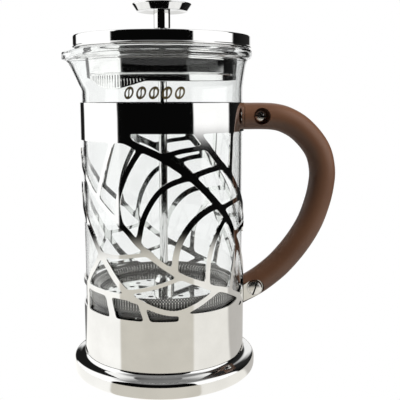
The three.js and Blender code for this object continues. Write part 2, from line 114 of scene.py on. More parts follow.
# ---------------------------------------------------------------- node trees
class Nodes:
    """Short ways to add and join the nodes of one tree. A source is an output socket or a number."""

    def __init__(self, tree):
        self.tree = tree

    def add(self, kind, **settings):
        node = self.tree.nodes.new(kind)
        for key, value in settings.items():
            setattr(node, key, value)
        return node

    def link(self, source, target):
        if not isinstance(source, (int, float)):
            self.tree.links.new(source, target)
        elif target.type == "RGBA":
            target.default_value = (source, source, source, 1)
        else:
            target.default_value = source

    def coords(self, kind="Object"):
        return self.add("ShaderNodeTexCoord").outputs[kind]

    def maths(self, operation, *sources):
        node = self.add("ShaderNodeMath", operation=operation)
        for source, target in zip(sources, node.inputs):
            self.link(source, target)
        return node.outputs[0]

    def length(self, vector):
        node = self.add("ShaderNodeVectorMath", operation="LENGTH")
        self.link(vector, node.inputs[0])
        return node.outputs["Value"]

    def span(self, source, low, high, start=0.0, end=1.0, kind="LINEAR"):
        """Takes start..end to low..high."""
        node = self.add("ShaderNodeMapRange", interpolation_type=kind)
        for key, value in (("From Min", start), ("From Max", end), ("To Min", low), ("To Max", high)):
            node.inputs[key].default_value = value
        self.link(source, node.inputs["Value"])
        return node.outputs["Result"]

    def noise(self, scale, detail=3.0):
        node = self.add("ShaderNodeTexNoise")
        node.inputs["Scale"].default_value = scale
        node.inputs["Detail"].default_value = detail
        self.link(self.coords(), node.inputs["Vector"])
        return node.outputs["Fac"]

    def ramp(self, source, stops):
        """Colour ramp from stops of (place, grey level or colour)."""
        node = self.add("ShaderNodeValToRGB")
        elements = node.color_ramp.elements
        while len(elements) < len(stops):
            elements.new(0.5)
        for element, (place, level) in zip(elements, stops):
            element.position = place
            element.color = (*level, 1) if isinstance(level, tuple) else (level, level, level, 1)
        self.link(source, node.inputs["Fac"])
        return node.outputs["Color"]

    def blend(self, value, start, end, first, second):
        """Goes from one colour to the other as the value runs from start to end; either may be grey."""
        share = self.span(value, 0.0, 1.0, start, end, "SMOOTHSTEP")
        mix = self.add("ShaderNodeMix", data_type="RGBA")
        self.link(share, mix.inputs["Factor"])
        colours = [socket for socket in mix.inputs if socket.type == "RGBA"]
        for source, target in zip((first, second), colours):
            self.link(source, target)
        return [socket for socket in mix.outputs if socket.type == "RGBA"][0]

    def choose(self, share, first, second, output):
        """Mixes two shaders by share and sends the result to a new output node."""
        mix = self.add("ShaderNodeMixShader")
        self.link(share, mix.inputs["Fac"])
        self.link(first, mix.inputs[1])
        self.link(second, mix.inputs[2])
        self.link(mix.outputs[0], self.add(output).inputs["Surface"])


# ---------------------------------------------------------------- materials
class Look(Nodes):
    """One material and its shader."""

    def __init__(self, name):
        self.material = bpy.data.materials.new(name)
        self.material.use_nodes = True
        super().__init__(self.material.node_tree)
        self.shader = self.tree.nodes["Principled BSDF"]

    def set(self, **values):
        for key, value in values.items():
            self.shader.inputs[key.replace("_", " ")].default_value = value

    def tint(self, source, low, high, start=0.35, end=0.65):
        self.link(self.ramp(source, [(start, low), (end, high)]), self.shader.inputs["Base Color"])

    def gloss(self, source, low, high):
        self.link(self.span(source, low, high), self.shader.inputs["Roughness"])

    def bump(self, height, strength, distance):
        node = self.add("ShaderNodeBump")
        node.inputs["Strength"].default_value = strength
        node.inputs["Distance"].default_value = distance
        self.link(height, node.inputs["Height"])
        self.link(node.outputs["Normal"], self.shader.inputs["Normal"])


def mirror_steel():
    n = Look("mirror_steel")
    n.set(Metallic=1.0)
    n.tint(n.noise(60), (0.80, 0.80, 0.79), (0.86, 0.86, 0.85))
    n.gloss(n.noise(900, 2), 0.025, 0.07)
    n.bump(n.noise(34, 1), 0.05, 0.0004)
    return n.material


def satin_steel():
    n = Look("satin_steel")
    n.set(Metallic=1.0)
    n.tint(n.noise(220), (0.56, 0.55, 0.53), (0.72, 0.71, 0.69))
    n.gloss(n.noise(1500, 2), 0.16, 0.32)
    n.bump(n.noise(2400, 2), 0.1, 0.00005)
    return n.material


def spring_wire():
    n = Look("spring_wire")
    n.set(Metallic=1.0)
    n.tint(n.noise(300), (0.84, 0.83, 0.80), (0.93, 0.92, 0.90))
    n.gloss(n.noise(1500, 2), 0.08, 0.16)
    n.bump(n.noise(2400, 2), 0.08, 0.00004)
    return n.material


def screw_steel():
    n = Look("screw_steel")
    n.set(Metallic=1.0)
    n.tint(n.noise(260), (0.70, 0.69, 0.67), (0.82, 0.81, 0.79))
    n.gloss(n.noise(1300, 2), 0.2, 0.3)
    n.bump(n.noise(2400, 2), 0.1, 0.00005)
    return n.material


# Near-black rough material: painted shade for the inside of the screw slots.
def painted_slot_shade():
    n = Look("painted_slot_shade")
    n.tint(n.noise(500), (0.02, 0.018, 0.016), (0.05, 0.045, 0.04))
    n.gloss(n.noise(1300, 2), 0.5, 0.7)
    return n.material


def woven_mesh():
    """Fine woven wire: wires run round the cup and up its wall; the wires are the mesh's own pattern, and the
    near-black where the weave is open is painted shade in the gaps.
    """
    wires_round, wire_pitch = 168, 0.0016
    n = Look("woven_wire")
    n.set(Metallic=0.55)
    parts = n.add("ShaderNodeSeparateXYZ")
    n.link(n.coords(), parts.inputs[0])
    around = n.maths("ARCTAN2", parts.outputs["Y"], parts.outputs["X"])
    reach = n.length(n.coords())
    waves = [(around, TURN / wires_round), (reach, wire_pitch), (parts.outputs["Z"], wire_pitch)]
    spokes, rings, rows = [n.maths("SINE", n.maths("MULTIPLY", source, TURN / pitch))
                           for source, pitch in waves]
    weave = n.maths("MULTIPLY", spokes, n.maths("MAXIMUM", rings, rows))
    # Near-black in the weave's openings: painted shade in the gaps between the wires.
    n.tint(weave, (0.03, 0.028, 0.024), (0.95, 0.93, 0.88), 0.0, 0.7)
    n.gloss(n.noise(900, 2), 0.25, 0.45)
    n.bump(weave, 0.4, 0.0003)
    return n.material


def clear_glass():
    n = Look("clear_glass")
    n.set(Base_Color=(0.985, 0.995, 0.99, 1), Roughness=0.0, IOR=1.47, Transmission_Weight=1.0,
          Specular_IOR_Level=0.35)
    n.bump(n.noise(22, 1), 0.03, 0.0006)
    return n.material


def soft_touch():
    n = Look("soft_touch_brown")
    n.set(IOR=1.45, Specular_IOR_Level=0.6, Sheen_Weight=0.08, Sheen_Roughness=0.5,
          Sheen_Tint=(0.95, 0.7, 0.55, 1))
    n.tint(n.noise(30, 4), (0.128, 0.058, 0.031), (0.158, 0.073, 0.039))
    n.gloss(n.noise(1400, 3), 0.36, 0.5)
    n.bump(n.noise(5200, 2), 0.22, 0.00006)
    return n.material


def black_plastic():
    n = Look("moulded_black")
    n.tint(n.noise(180), 0.018, 0.035)
    n.gloss(n.noise(900, 3), 0.4, 0.6)
    n.bump(n.noise(2600, 2), 0.25, 0.0001)
    return n.material


def silicone():
    n = Look("silicone")
    n.set(Subsurface_Weight=0.15)
    n.tint(n.noise(80), (0.55, 0.55, 0.53), (0.66, 0.66, 0.64))
    n.gloss(n.noise(700, 3), 0.5, 0.65)
    return n.material


def print_ink():
    n = Look("fired_ink")
    n.tint(n.noise(700, 3), (0.10, 0.075, 0.03), (0.15, 0.115, 0.05))
    n.gloss(n.noise(2500, 2), 0.4, 0.6)
    return n.material


MATERIAL = {
    "mirror_steel": mirror_steel(),
    "satin_steel": satin_steel(),
    "steel_mesh": woven_mesh(),
    "spring_wire": spring_wire(),
    "screw_steel": screw_steel(),
    "painted_slot_shade": painted_slot_shade(),
    "clear_glass": clear_glass(),
    "soft_touch_brown": soft_touch(),
    "black_plastic": black_plastic(),
    "silicone": silicone(),
    "ink": print_ink(),
}


# ---------------------------------------------------------------- mesh helpers
def make(name, vertices, faces, look, body, sharp=CRISP):
    """A smooth-shaded piece from points in millimetres, with edges over `sharp` degrees kept crisp."""
    mesh = bpy.data.meshes.new(name)
    mesh.from_pydata([(x * MM, y * MM, z * MM) for x, y, z in vertices], [], faces)
    mesh.validate()
    return place(name, mesh, look, body, sharp)


def show(name, mesh):
    obj = bpy.data.objects.new(name, mesh)
    bpy.context.scene.collection.objects.link(obj)
    return obj


def place(name, mesh, look, body, sharp=CRISP):
    mark_sharp(mesh, sharp)
    mesh.materials.clear()
    mesh.materials.append(MATERIAL[look])
    obj = show(name, mesh)
    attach(obj, body)
    return obj


def weld(bm):
    bmesh.ops.remove_doubles(bm, verts=bm.verts, dist=WELD)
    bmesh.ops.recalc_face_normals(bm, faces=bm.faces)


def mark_sharp(mesh, degrees=CRISP):
    bm = bmesh.new()
    bm.from_mesh(mesh)
    weld(bm)
    for face in bm.faces:
        face.smooth = True
    for edge in bm.edges:
        edge.smooth = not edge.is_manifold or edge.calc_face_angle(0.0) < math.radians(degrees)
    bm.to_mesh(mesh)
    bm.free()


def rounded(corners, steps=5):
    """Profile with filleted corners: each corner is (r, z) or (r, z, fillet radius)."""
    most_of_side, long_run, support = 0.48, 1.5, 0.12
    closed = len(corners) > 2 and tuple(corners[0][:2]) == tuple(corners[-1][:2])
    points = corners[:-1] if closed else corners
    out = []
    for i, corner in enumerate(points):
        here = Vector(corner[:2])
        fillet = corner[2] if len(corner) > 2 else 0
        if not fillet or (not closed and i in (0, len(points) - 1)):
            out.append(tuple(here))
            continue
        before = Vector(points[i - 1][:2]) - here
        after = Vector(points[(i + 1) % len(points)][:2]) - here
        turn = before.angle(after)
        reach = min(fillet / math.tan(turn / 2), before.length * most_of_side, after.length * most_of_side)
        start = here + before.normalized() * reach
        end = here + after.normalized() * reach
        # A point just outside each end of the fillet keeps the shading of a long straight run even.
        if before.length > long_run:
            out.append(tuple(start + before.normalized() * support))
        for k in range(steps + 1):
            t = k / steps
            out.append(tuple(start * (1 - t) ** 2 + here * 2 * t * (1 - t) + end * t ** 2))
        if after.length > long_run:
            out.append(tuple(end + after.normalized() * support))
    return out + [out[0]] if closed else out


def smooth_line(points, per=8):
    """Points of a Catmull-Rom curve through the given points, of any dimension."""
    p = np.array(points, float)
    p = np.vstack([2 * p[0] - p[1], p, 2 * p[-1] - p[-2]])
    out = []
    for i in range(1, len(p) - 2):
        for k in range(per):
            t = k / per
            out.append(0.5 * (2 * p[i] + (p[i + 1] - p[i - 1]) * t
                              + (2 * p[i - 1] - 5 * p[i] + 4 * p[i + 1] - p[i + 2]) * t ** 2
                              + (3 * p[i] - p[i - 1] - 3 * p[i + 1] + p[i + 2]) * t ** 3))
    out.append(p[-2])
    return np.array(out)


def lathe(name, profile, look, body, segments=160, warp=None, sharp=CRISP):
    """Turned piece about Z. The profile runs bottom axis to top axis, or closes on itself."""
    closed = np.allclose(profile[0], profile[-1])
    ring = profile[:-1] if closed else profile
    vertices, rows = [], []
    for r, z in ring:
        if r < 1e-6:
            rows.append([len(vertices)] * segments)
            vertices.append((0, 0, z))
            continue
        rows.append(list(range(len(vertices), len(vertices) + segments)))
        for k in range(segments):
            a = TURN * k / segments
            point = (r * math.cos(a), r * math.sin(a), z)
            vertices.append(warp(*point) if warp else point)
    pairs = list(zip(rows, rows[1:])) + ([(rows[-1], rows[0])] if closed else [])
    faces = []
    for low, high in pairs:
        for k in range(segments):
            j = (k + 1) % segments
            face = []
            for v in (low[k], low[j], high[j], high[k]):
                if v not in face:
                    face.append(v)
            if len(face) > 2:
                faces.append(face)
    return make(name, vertices, faces, look, body, sharp)


def sweep(path, radius, sides=24, up=(0, 1, 0)):
    """(vertices, faces) of a round bar along a path in one plane, with flat closed ends."""
    path = np.array(path)
    tangents = np.gradient(path, axis=0)
    vertices, faces = [], []
    for point, tangent in zip(path, tangents):
        tangent = Vector(tangent).normalized()
        side = Vector(up)
        normal = tangent.cross(side).normalized()
        for k in range(sides):
            a = TURN * k / sides
            vertices.append(tuple(Vector(point) + radius * (math.cos(a) * normal + math.sin(a) * side)))
    for i in range(len(path) - 1):
        for k in range(sides):
            j = (k + 1) % sides
            faces.append((i * sides + k, i * sides + j, (i + 1) * sides + j, (i + 1) * sides + k))
    faces.append(tuple(range(sides)))
    faces.append(tuple(range((len(path) - 1) * sides, len(path) * sides))[::-1])
    return vertices, faces


def solid_mesh(vertices, faces):
    """A closed mesh from points in millimetres, its faces turned outwards."""
    mesh = bpy.data.meshes.new("solid")
    mesh.from_pydata([tuple(c * MM for c in v) for v in vertices], [], faces)
    bm = bmesh.new()
    bm.from_mesh(mesh)
    weld(bm)
    bm.to_mesh(mesh)
    bm.free()
    return mesh


def cutter(vertices, faces):
    return show("cutter", solid_mesh(vertices, faces))


def carve(mesh, cutters):
    """The mesh with the cutters taken away, as a new mesh; the cutters are removed."""
    blank = show("blank", mesh)
    for tool in cutters:
        modifier = blank.modifiers.new("cut", "BOOLEAN")
        modifier.operation = "DIFFERENCE"
        modifier.object = tool
        modifier.solver = "EXACT"
    depsgraph = bpy.context.evaluated_depsgraph_get()
    result = bpy.data.meshes.new_from_object(blank.evaluated_get(depsgraph))
    for tool in [blank, *cutters]:
        bpy.data.objects.remove(tool)
    return result


def carve_piece(piece, cutters, sharp=CRISP):
    """Takes the cutters away from a piece that is already in its place."""
    mesh = carve(piece.data.copy(), cutters)
    mark_sharp(mesh, sharp)
    piece.data = mesh


def prism(rings, count):
    """(vertices, faces) of a solid between two rings of `count` points, listed one after the other."""
    faces = [(k, (k + 1) % count, count + (k + 1) % count, count + k) for k in range(count)]
    faces += [tuple(range(count)), tuple(range(count, 2 * count))[::-1]]
    return rings, faces


def circle(radius, sides):
    return [(radius * math.cos(TURN * k / sides), radius * math.sin(TURN * k / sides)) for k in range(sides)]


def slab_y(outline, low_y, high_y):
    """(vertices, faces) of a plate across Y, from its outline in (x, z)."""
    return prism([(x, y, z) for y in (low_y, high_y) for x, z in outline], len(outline))


def bar_y(x, z, radius, low_y, high_y, sides=24):
    """(vertices, faces) of a round bar along Y."""
    return slab_y([(x + u, z + v) for u, v in circle(radius, sides)], low_y, high_y)


def drum(radius, low, high, sides=192):
    """(vertices, faces) of a round bar along Z, on the axis."""
    return prism([(x, y, z) for z in (low, high) for x, y in circle(radius, sides)], sides)


def block(low, high):
    """(vertices, faces) of a box from its two far corners."""
    vertices = [(x, y, z) for x in (low[0], high[0]) for y in (low[1], high[1]) for z in (low[2], high[2])]
    faces = [(0, 1, 3, 2), (4, 6, 7, 5), (0, 4, 5, 1), (2, 3, 7, 6), (0, 2, 6, 4), (1, 5, 7, 3)]
    return vertices, faces


def turned(vertices, turn, shift=(0, 0, 0)):
    return [tuple(turn @ Vector(v) + Vector(shift)) for v in vertices]


# ---------------------------------------------------------------- sleeve
def rib_field(s, z):
    """Signed distance to the sleeve's metal on the unrolled sheet: negative inside a rib or band."""
    distance = np.minimum(z - LOW_BAND, TOP_BAND - z)
    blend, near_seam = 1.2, 0.8 * math.pi * SLEEVE_R
    for half, line in RIBS:
        curve = smooth_line(line, 7) if len(line) > 2 else np.array(line, float)
        for mirror in (1, -1):
            x = mirror * np.radians(curve[:, 0]) * SLEEVE_R
            y = curve[:, 1]
            nearest = np.full(s.shape, 1e9)
            for i in range(len(x) - 1):
                dx, dy = x[i + 1] - x[i], y[i + 1] - y[i]
                for wrap in (-1, 0, 1):
                    if wrap and abs(x[i]) < near_seam:
                        continue
                    px = s + wrap * TURN * SLEEVE_R - x[i]
                    py = z - y[i]
                    t = np.clip((px * dx + py * dy) / (dx * dx + dy * dy), 0, 1)
                    nearest = np.minimum(nearest, np.hypot(px - t * dx, py - t * dy))
            nearest -= half
            mix = np.clip(0.5 + 0.5 * (distance - nearest) / blend, 0, 1)
            distance = distance + (nearest - distance) * mix - blend * mix * (1 - mix)
    return distance


def soften_field(field):
    """A light blur, so that crossings get small even fillets; it wraps round the sleeve."""
    for _ in range(2):
        field = 0.25 * np.roll(field, 1, 0) + 0.5 * field + 0.25 * np.roll(field, -1, 0)
        inner = 0.25 * field[:, :-2] + 0.5 * field[:, 1:-1] + 0.25 * field[:, 2:]
        field = np.hstack([field[:, :1], inner, field[:, -1:]])
    return field


def contour_sheet(field, s_grid, z_grid):
    """Cuts the grid along the field's zero line.

    Returns the points (s, z), the faces where the field is negative, the cut edges, and the point
    number of each grid place that is used.
    """
    columns, rows = field.shape
    step = s_grid[1] - s_grid[0]
    flat, faces, edges = [], [], []
    grid_id, edge_id = {}, {}

    def grid_vertex(i, j):
        key = (i % columns, j)
        if key not in grid_id:
            grid_id[key] = len(flat)
            flat.append((s_grid[key[0]], z_grid[j]))
        return grid_id[key]

    def edge_vertex(i, j, m, n):
        a, b = (i % columns, j), (m % columns, n)
        key = (a, b) if a < b else (b, a)
        if key not in edge_id:
            t = field[a] / (field[a] - field[b])
            start = s_grid[a[0]]
            end = start + (m - i) * step
            edge_id[key] = len(flat)
            flat.append((start + (end - start) * t, z_grid[j] + (z_grid[n] - z_grid[j]) * t))
        return edge_id[key]

    for i in range(columns):
        for j in range(rows - 1):
            corners = [(i, j), (i + 1, j), (i + 1, j + 1), (i, j + 1)]
            inside = [field[c[0] % columns, c[1]] < 0 for c in corners]
            if not any(inside):
                continue
            loop, marks = [], []
            for k in range(4):
                a, b = corners[k], corners[(k + 1) % 4]
                if inside[k]:
                    loop.append(grid_vertex(*a))
                    marks.append(False)
                if inside[k] != inside[(k + 1) % 4]:
                    loop.append(edge_vertex(*a, *b))
                    marks.append(True)
            faces.append(loop)
            for k in range(len(loop)):
                if marks[k] and marks[(k + 1) % len(loop)]:
                    edges.append((loop[k], loop[(k + 1) % len(loop)]))
    return flat, faces, edges, grid_id


def add_bands(flat, faces, edges, grid_id, s_grid, rows):
    """Runs the sheet on from its first and last rows to the sleeve's foot and top."""
    columns = len(s_grid)
    for z_far, j in ((SLEEVE_FOOT, 0), (SLEEVE_TOP, rows - 1)):
        far = list(range(len(flat), len(flat) + columns))
        flat += [(s, z_far) for s in s_grid]
        for i in range(columns):
            after = (i + 1) % columns
            loop = [grid_id[i, j], grid_id[after, j], far[after], far[i]]
            faces.append(loop if j else loop[::-1])
            edges.append((far[after], far[i]) if j else (far[i], far[after]))


def roll_up(flat, faces, edges):
    """The sheet rolled into a sleeve with its wall, as a mesh with true round normals and crisp edges."""
    count = len(flat)
    vertices, normals = [], []
    for radius, sign in ((SLEEVE_R, 1), (SLEEVE_R - SLEEVE_WALL, -1)):
        for s, z in flat:
            a = s / SLEEVE_R
            vertices.append((radius * math.cos(a) * MM, radius * math.sin(a) * MM, z * MM))
            normals.append((sign * math.cos(a), sign * math.sin(a), 0.0))
    sheets = faces + [[v + count for v in reversed(loop)] for loop in faces]
    walls = [(a, a + count, b + count, b) for a, b in edges]
    mesh = bpy.data.meshes.new("cut_out_sleeve")
    mesh.from_pydata(vertices, [], sheets + walls)
    mesh.polygons.foreach_set("use_smooth", [True] * len(mesh.polygons))
    border = {tuple(sorted((a + k, b + k))) for a, b in edges for k in (0, count)}
    for edge in mesh.edges:
        edge.use_edge_sharp = tuple(sorted(edge.vertices)) in border
    custom = []
    for polygon in mesh.polygons:
        if polygon.index < len(sheets):
            custom.extend(normals[mesh.loops[k].vertex_index] for k in polygon.loop_indices)
        else:
            custom.extend([tuple(polygon.normal)] * polygon.loop_total)
    mesh.normals_split_custom_set(custom)
    return mesh


def sleeve_piece():
    """The cut-out sheet, contoured on a fine grid of the unrolled sleeve and rolled up."""
    columns, rows, overlap, solid = 480, 164, 2.0, -0.5
    s_grid = (np.arange(columns) / columns - 0.5) * TURN * SLEEVE_R
    z_grid = np.linspace(LOW_BAND - overlap, TOP_BAND + overlap, rows)
    field = soften_field(rib_field(*np.meshgrid(s_grid, z_grid, indexing="ij")))
    for row in (0, -1):
        field[:, row] = np.minimum(field[:, row], solid)
    flat, faces, edges, grid_id = contour_sheet(field, s_grid, z_grid)
    add_bands(flat, faces, edges, grid_id, s_grid, rows)
    mesh = roll_up(flat, faces, edges)
    mesh.materials.append(MATERIAL["mirror_steel"])
    obj = show("cut_out_sleeve", mesh)
    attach(obj, "frame")
    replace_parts(obj, "frame_sleeve")


# ---------------------------------------------------------------- base
def base_piece():
    flare = smooth_line([(SLEEVE_R, FOOT_TOP), (49.8, 13.9), (50.9, 13.1), (53.2, 12.2), (55.2, 11.2),
                         (56.1, 9.9), (56.4, 8.2), (56.4, 6.2), (56.3, 4.4), (55.8, 3.0), (54.6, 1.9),
                         (53.0, 1.2), (51.6, 0.7), (50.9, FOOT_LOW)], 5)[::-1]
    seat = rounded([(SLEEVE_R, FOOT_TOP), (48.1, FOOT_TOP), (48.1, 16.4), (46.9, 16.4), (46.9, 11.6),
                    (0, 11.6)])
    profile = [(0, 10.2), (49.2, 10.2), (49.2, FOOT_LOW)] + [tuple(p) for p in flare] + seat[1:]
    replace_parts(lathe("spun_base", profile, "mirror_steel", "frame", 192), "base_ring")
    insert = rounded([(0, 0), (30, 0), (30.4, 0.5, 0.2), (33, 0.5, 0.2), (33.4, 0, 0.2), (47.6, 0, 0.5),
                      (48.9, 1, 0.5), (48.9, 9.9), (0, 9.9)])
    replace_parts(lathe("foot_insert", insert, "black_plastic", "frame", 128), "base_insert")
    pad = rounded([(0, 11.9), (38, 11.9, 0.5), (38, 14.4, 0.8), (0, 14.4)])
    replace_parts(lathe("glass_cushion", pad, "silicone", "frame", 96), "base_cushion")


# ---------------------------------------------------------------- glass
def spout_warp(x, y, z):
    """Pushes the rim out into the spout and lets its tip drop a little."""
    ease_in, swell, drop_from = 0.2, 0.92, 0.6
    lift = (z - SPOUT_FROM) / (RIM_Z - SPOUT_FROM)
    off_axis = abs(math.atan2(y, -x)) / SPOUT_HALF
    if lift <= 0 or off_axis >= 1:
        return (x, y, z)
    share = math.cos(off_axis * math.pi / 2) ** 2
    radius = math.hypot(x, y)
    ease = min(1.0, lift / ease_in)
    reach = min(SPOUT_REACH * lift ** swell, SPOUT_TIP - radius)
    push = (radius + share * ease * (2 - ease) * reach) / radius
    drop = share * SPOUT_DROP * max(0.0, lift - drop_from) / (1 - drop_from)
    return (x * push, y * push, z - drop)


def glass_piece():
    outer = smooth_line([(38.5, GLASS_FOOT), (42.4, 15.4), (45.4, 17.6), (47.2, 21.2), (GLASS_R, 27)], 6)
    wall = [(GLASS_R, z) for z in np.linspace(35, 165, 14)]
    flare = smooth_line([(GLASS_R, 171), (48.15, 176), (48.9, 182), (49.9, 188), (50.7, 190.6),
                         (52.4, 191.7), (BEAD_R, 193.2), (BEAD_R, 195.3)], 6)
    lip = rounded([(BEAD_R, 195.3), (BEAD_R - 0.1, 196.4, 0.9), (RIM_R - 1.7, 196.5, 0.9), (50.3, 194.6)])
    inner = smooth_line([(50.3, 194.6), (49.6, 192.8), (48.2, 187.6), (47.2, 181.8), (46.5, 176),
                         (GLASS_BORE, 171)], 6)
    bore = [(GLASS_BORE, z) for z in np.linspace(165, 35, 14)]
    bottom = smooth_line([(GLASS_BORE, 27), (45.7, 22.3), (43.6, 19.3), (40.8, 17.4), (37.5, GLASS_FLOOR)], 6)
    profile = [(0, GLASS_FOOT), (19, GLASS_FOOT)]
    profile += [tuple(p) for p in [*outer, *wall, *flare, *lip[1:-1], *inner, *bore, *bottom]]
    profile += [(19, GLASS_FLOOR), (0, GLASS_FLOOR)]
    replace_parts(lathe("spouted_beaker", profile, "clear_glass", "beaker", 200, spout_warp, 40),
                "glass_beaker")


def bean_outline(sides=40, steps=16):
    """(vertices, faces) of one flat bean: an oval line and a wavy crease inside it."""
    vertices = [(BEAN_LONG * u, BEAN_WIDE * v) for scale in (1.0, BEAN_HOLE) for u, v in circle(scale, sides)]
    faces = [(i, (i + 1) % sides, sides + (i + 1) % sides, sides + i) for i in range(sides)]
    first = len(vertices)
    for i in range(steps + 1):
        u = -CREASE_HALF + 2 * CREASE_HALF * i / steps
        middle = 0.6 * math.sin(u / CREASE_HALF * math.pi * 0.9)
        vertices += [(u, middle - CREASE_WIDE), (u, middle + CREASE_WIDE)]
    faces += [(first + 2 * i, first + 2 * i + 2, first + 2 * i + 3, first + 2 * i + 1) for i in range(steps)]
    return vertices, faces


def bean_marks():
    """A row of plain bean shapes fired on the glass where a maker's word would be."""
    vertices, faces = bean_outline()
    c, s = math.cos(BEAN_TILT), math.sin(BEAN_TILT)
    leaned = [(u * c - v * s, u * s + v * c) for u, v in vertices]
    radius = GLASS_R + 0.06
    for k in range(BEANS):
        middle = math.radians(BEANS_AT + (k - BEANS // 2) * BEAN_PITCH)
        bent = [(radius * math.cos(middle + u / radius), radius * math.sin(middle + u / radius), BEANS_Z + v)
                for u, v in leaned]
        make(f"bean_mark_{k + 1}", bent, faces, "ink", "beaker")


# ---------------------------------------------------------------- lid
def lid_pieces():
    crown = smooth_line([(LID_HOLE, LID_CROWN), (15, 207.5), (30, 206.1), (42, 204.95), (50.6, 204.4)], 6)
    inner = smooth_line([(50.2, 203.6), (42, 204.15), (30, 205.3), (15, 206.7), (LID_HOLE, 208.1)], 6)
    side = rounded([tuple(crown[-1]), (52.4, LID_SHOULDER, 0.4), (LID_R, 203.6, 0.3), (LID_R, 198.6, 0.3),
                    (LID_R + 0.35, 198.1, 0.3), (LID_R + 0.35, 197.4, 0.3), (LID_R - 1.0, LID_BOTTOM, 0.2),
                    (LID_R - 0.9, 203, 0.6), tuple(inner[0])], 5)
    loop = [tuple(p) for p in crown] + side[1:-1] + [tuple(p) for p in inner] + [tuple(crown[0])]
    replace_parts(lathe("domed_cover", loop[::-1], "mirror_steel", "lid", 192), "lid_cover")
    bush = rounded([(ROD_BORE, BUSH_LOW), (BUSH_R, BUSH_LOW, 0.3), (BUSH_R, FLANGE_LOW),
                    (FLANGE_R, FLANGE_LOW, 0.3), (FLANGE_R, FLANGE_HIGH, 0.3), (BUSH_R, FLANGE_HIGH),
                    (BUSH_R, BUSH_HIGH, 0.2), (ROD_BORE, BUSH_HIGH), (ROD_BORE, BUSH_LOW)], 3)
    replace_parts(lathe("rod_bush", bush, "satin_steel", "lid", 48), "rod_guide")


def strainer_edge(degrees):
    """Height of the strainer's lower edge: deeper at the front, with the slotted lobe towards the spout."""
    height = STRAINER_EDGE
    for centre, half, deep, power in EDGE_DROPS:
        away = abs((degrees - centre + 180) % 360 - 180) / half
        height -= deep * math.cos(away * math.pi / 2) ** power if away < 1 else 0
    return height


def strainer_warp(x, y, z):
    """Draws the plain lower edge down to its height at this place round the axis."""
    start = STRAINER_LINE - 0.75
    share = min(1.0, max(0.0, (start - z) / (start - STRAINER_EDGE)))
    return (x, y, z + share * (strainer_edge(math.degrees(math.atan2(y, x))) - STRAINER_EDGE))


def strainer_piece():
    r, low, inside = STRAINER_R, STRAINER_LOW_R, STRAINER_LOW_R - STRAINER_WALL
    profile = rounded([(inside, STRAINER_EDGE, 0.1), (low, STRAINER_EDGE, 0.1), (low, 181.3),
                       (low, 181.5, 0.2), (low + 0.4, STRAINER_LINE, 0.4), (low, 182.5, 0.3), (r, 195.0, 0.8),
                       (r + 1.0, 196.7, 0.6), (51, 196.7, 0.2), (51, 197.4, 0.2),
                       (r - STRAINER_WALL, 197.4, 0.8), (inside, 182.5), (inside, 181.3),
                       (inside, STRAINER_EDGE, 0.1)], 4)
    piece = lathe("strainer_skirt", profile, "mirror_steel", "strainer", 240, strainer_warp)
    margin, depth = 0.9, 3
    slots = []
    for k in range(-SLOTS_BEFORE, SLOTS_AFTER + 1):
        degrees = LOBE_AT + k * SLOT_PITCH
        vertices, faces = block((low - depth, -SLOT_HALF, strainer_edge(degrees) + margin),
                                (low + depth, SLOT_HALF, STRAINER_LINE - margin))
        turn = Matrix.Rotation(math.radians(degrees), 3, "Z")
        slots.append(cutter(turned(vertices, turn), faces))
    carve_piece(piece, slots)
    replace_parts(piece, "lid_strainer")


# ---------------------------------------------------------------- plunger
def plunger_pieces():
    dish = rounded([(0, 220.9), (5.5, 220.85, 3), (10, 220.35, 3), (13.8, 219.3, 1), (14.9, 218.9, 0.4),
                    (17.6, 222.8, 0.5), (17.5, 223.4, 0.3), (16.7, 223.35, 0.4), (13, 222.9, 6),
                    (7, 222.5, 6), (0, 222.4)], 6)
    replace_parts(lathe("knob_cap", dish, "mirror_steel", "plunger", 128), "knob_dish")
    neck = rounded([(ROD_BORE, NECK_LOW), (NECK_R, NECK_LOW, 0.2), (NECK_R, NECK_HIGH, 0.2), (0, NECK_HIGH),
                    (0, 214.9), (ROD_BORE, 214.9), (ROD_BORE, NECK_LOW)], 4)
    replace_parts(lathe("knob_stem", neck, "mirror_steel", "plunger", 64), "knob_neck")
    rod = rounded([(0, ROD_LOW), (ROD_R, ROD_LOW, 0.5), (ROD_R, ROD_HIGH, 0.3), (0, ROD_HIGH)])
    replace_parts(lathe("polished_rod", rod, "mirror_steel", "plunger", 48), "plunger_rod")


# ---------------------------------------------------------------- filter
def perforated_plate(name, inner, outer, low, high, rings, look, node):
    """Flat disc with rings of round holes, and rounded edges. A ring is (count, distance, hole radius)."""
    profile = rounded([(inner, low), (outer, low, 0.3), (outer, high, 0.3), (inner, high), (inner, low)], 3)
    plate = lathe(name, profile, look, "filter", 144)
    drills = []
    for count, distance, hole in rings:
        drill, faces = drum(1, low - 2, high + 2, 16)
        drill = [(distance + x * hole, y * hole, z) for x, y, z in drill]
        for k in range(count):
            turn = Matrix.Rotation(TURN * (k + 0.5) / count, 3, "Z")
            drills.append(cutter(turned(drill, turn), faces))
    join = drills[0]
    with bpy.context.temp_override(active_object=join, selected_editable_objects=drills, object=join):
        bpy.ops.object.join()
    carve_piece(plate, [join])
    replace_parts(plate, node)


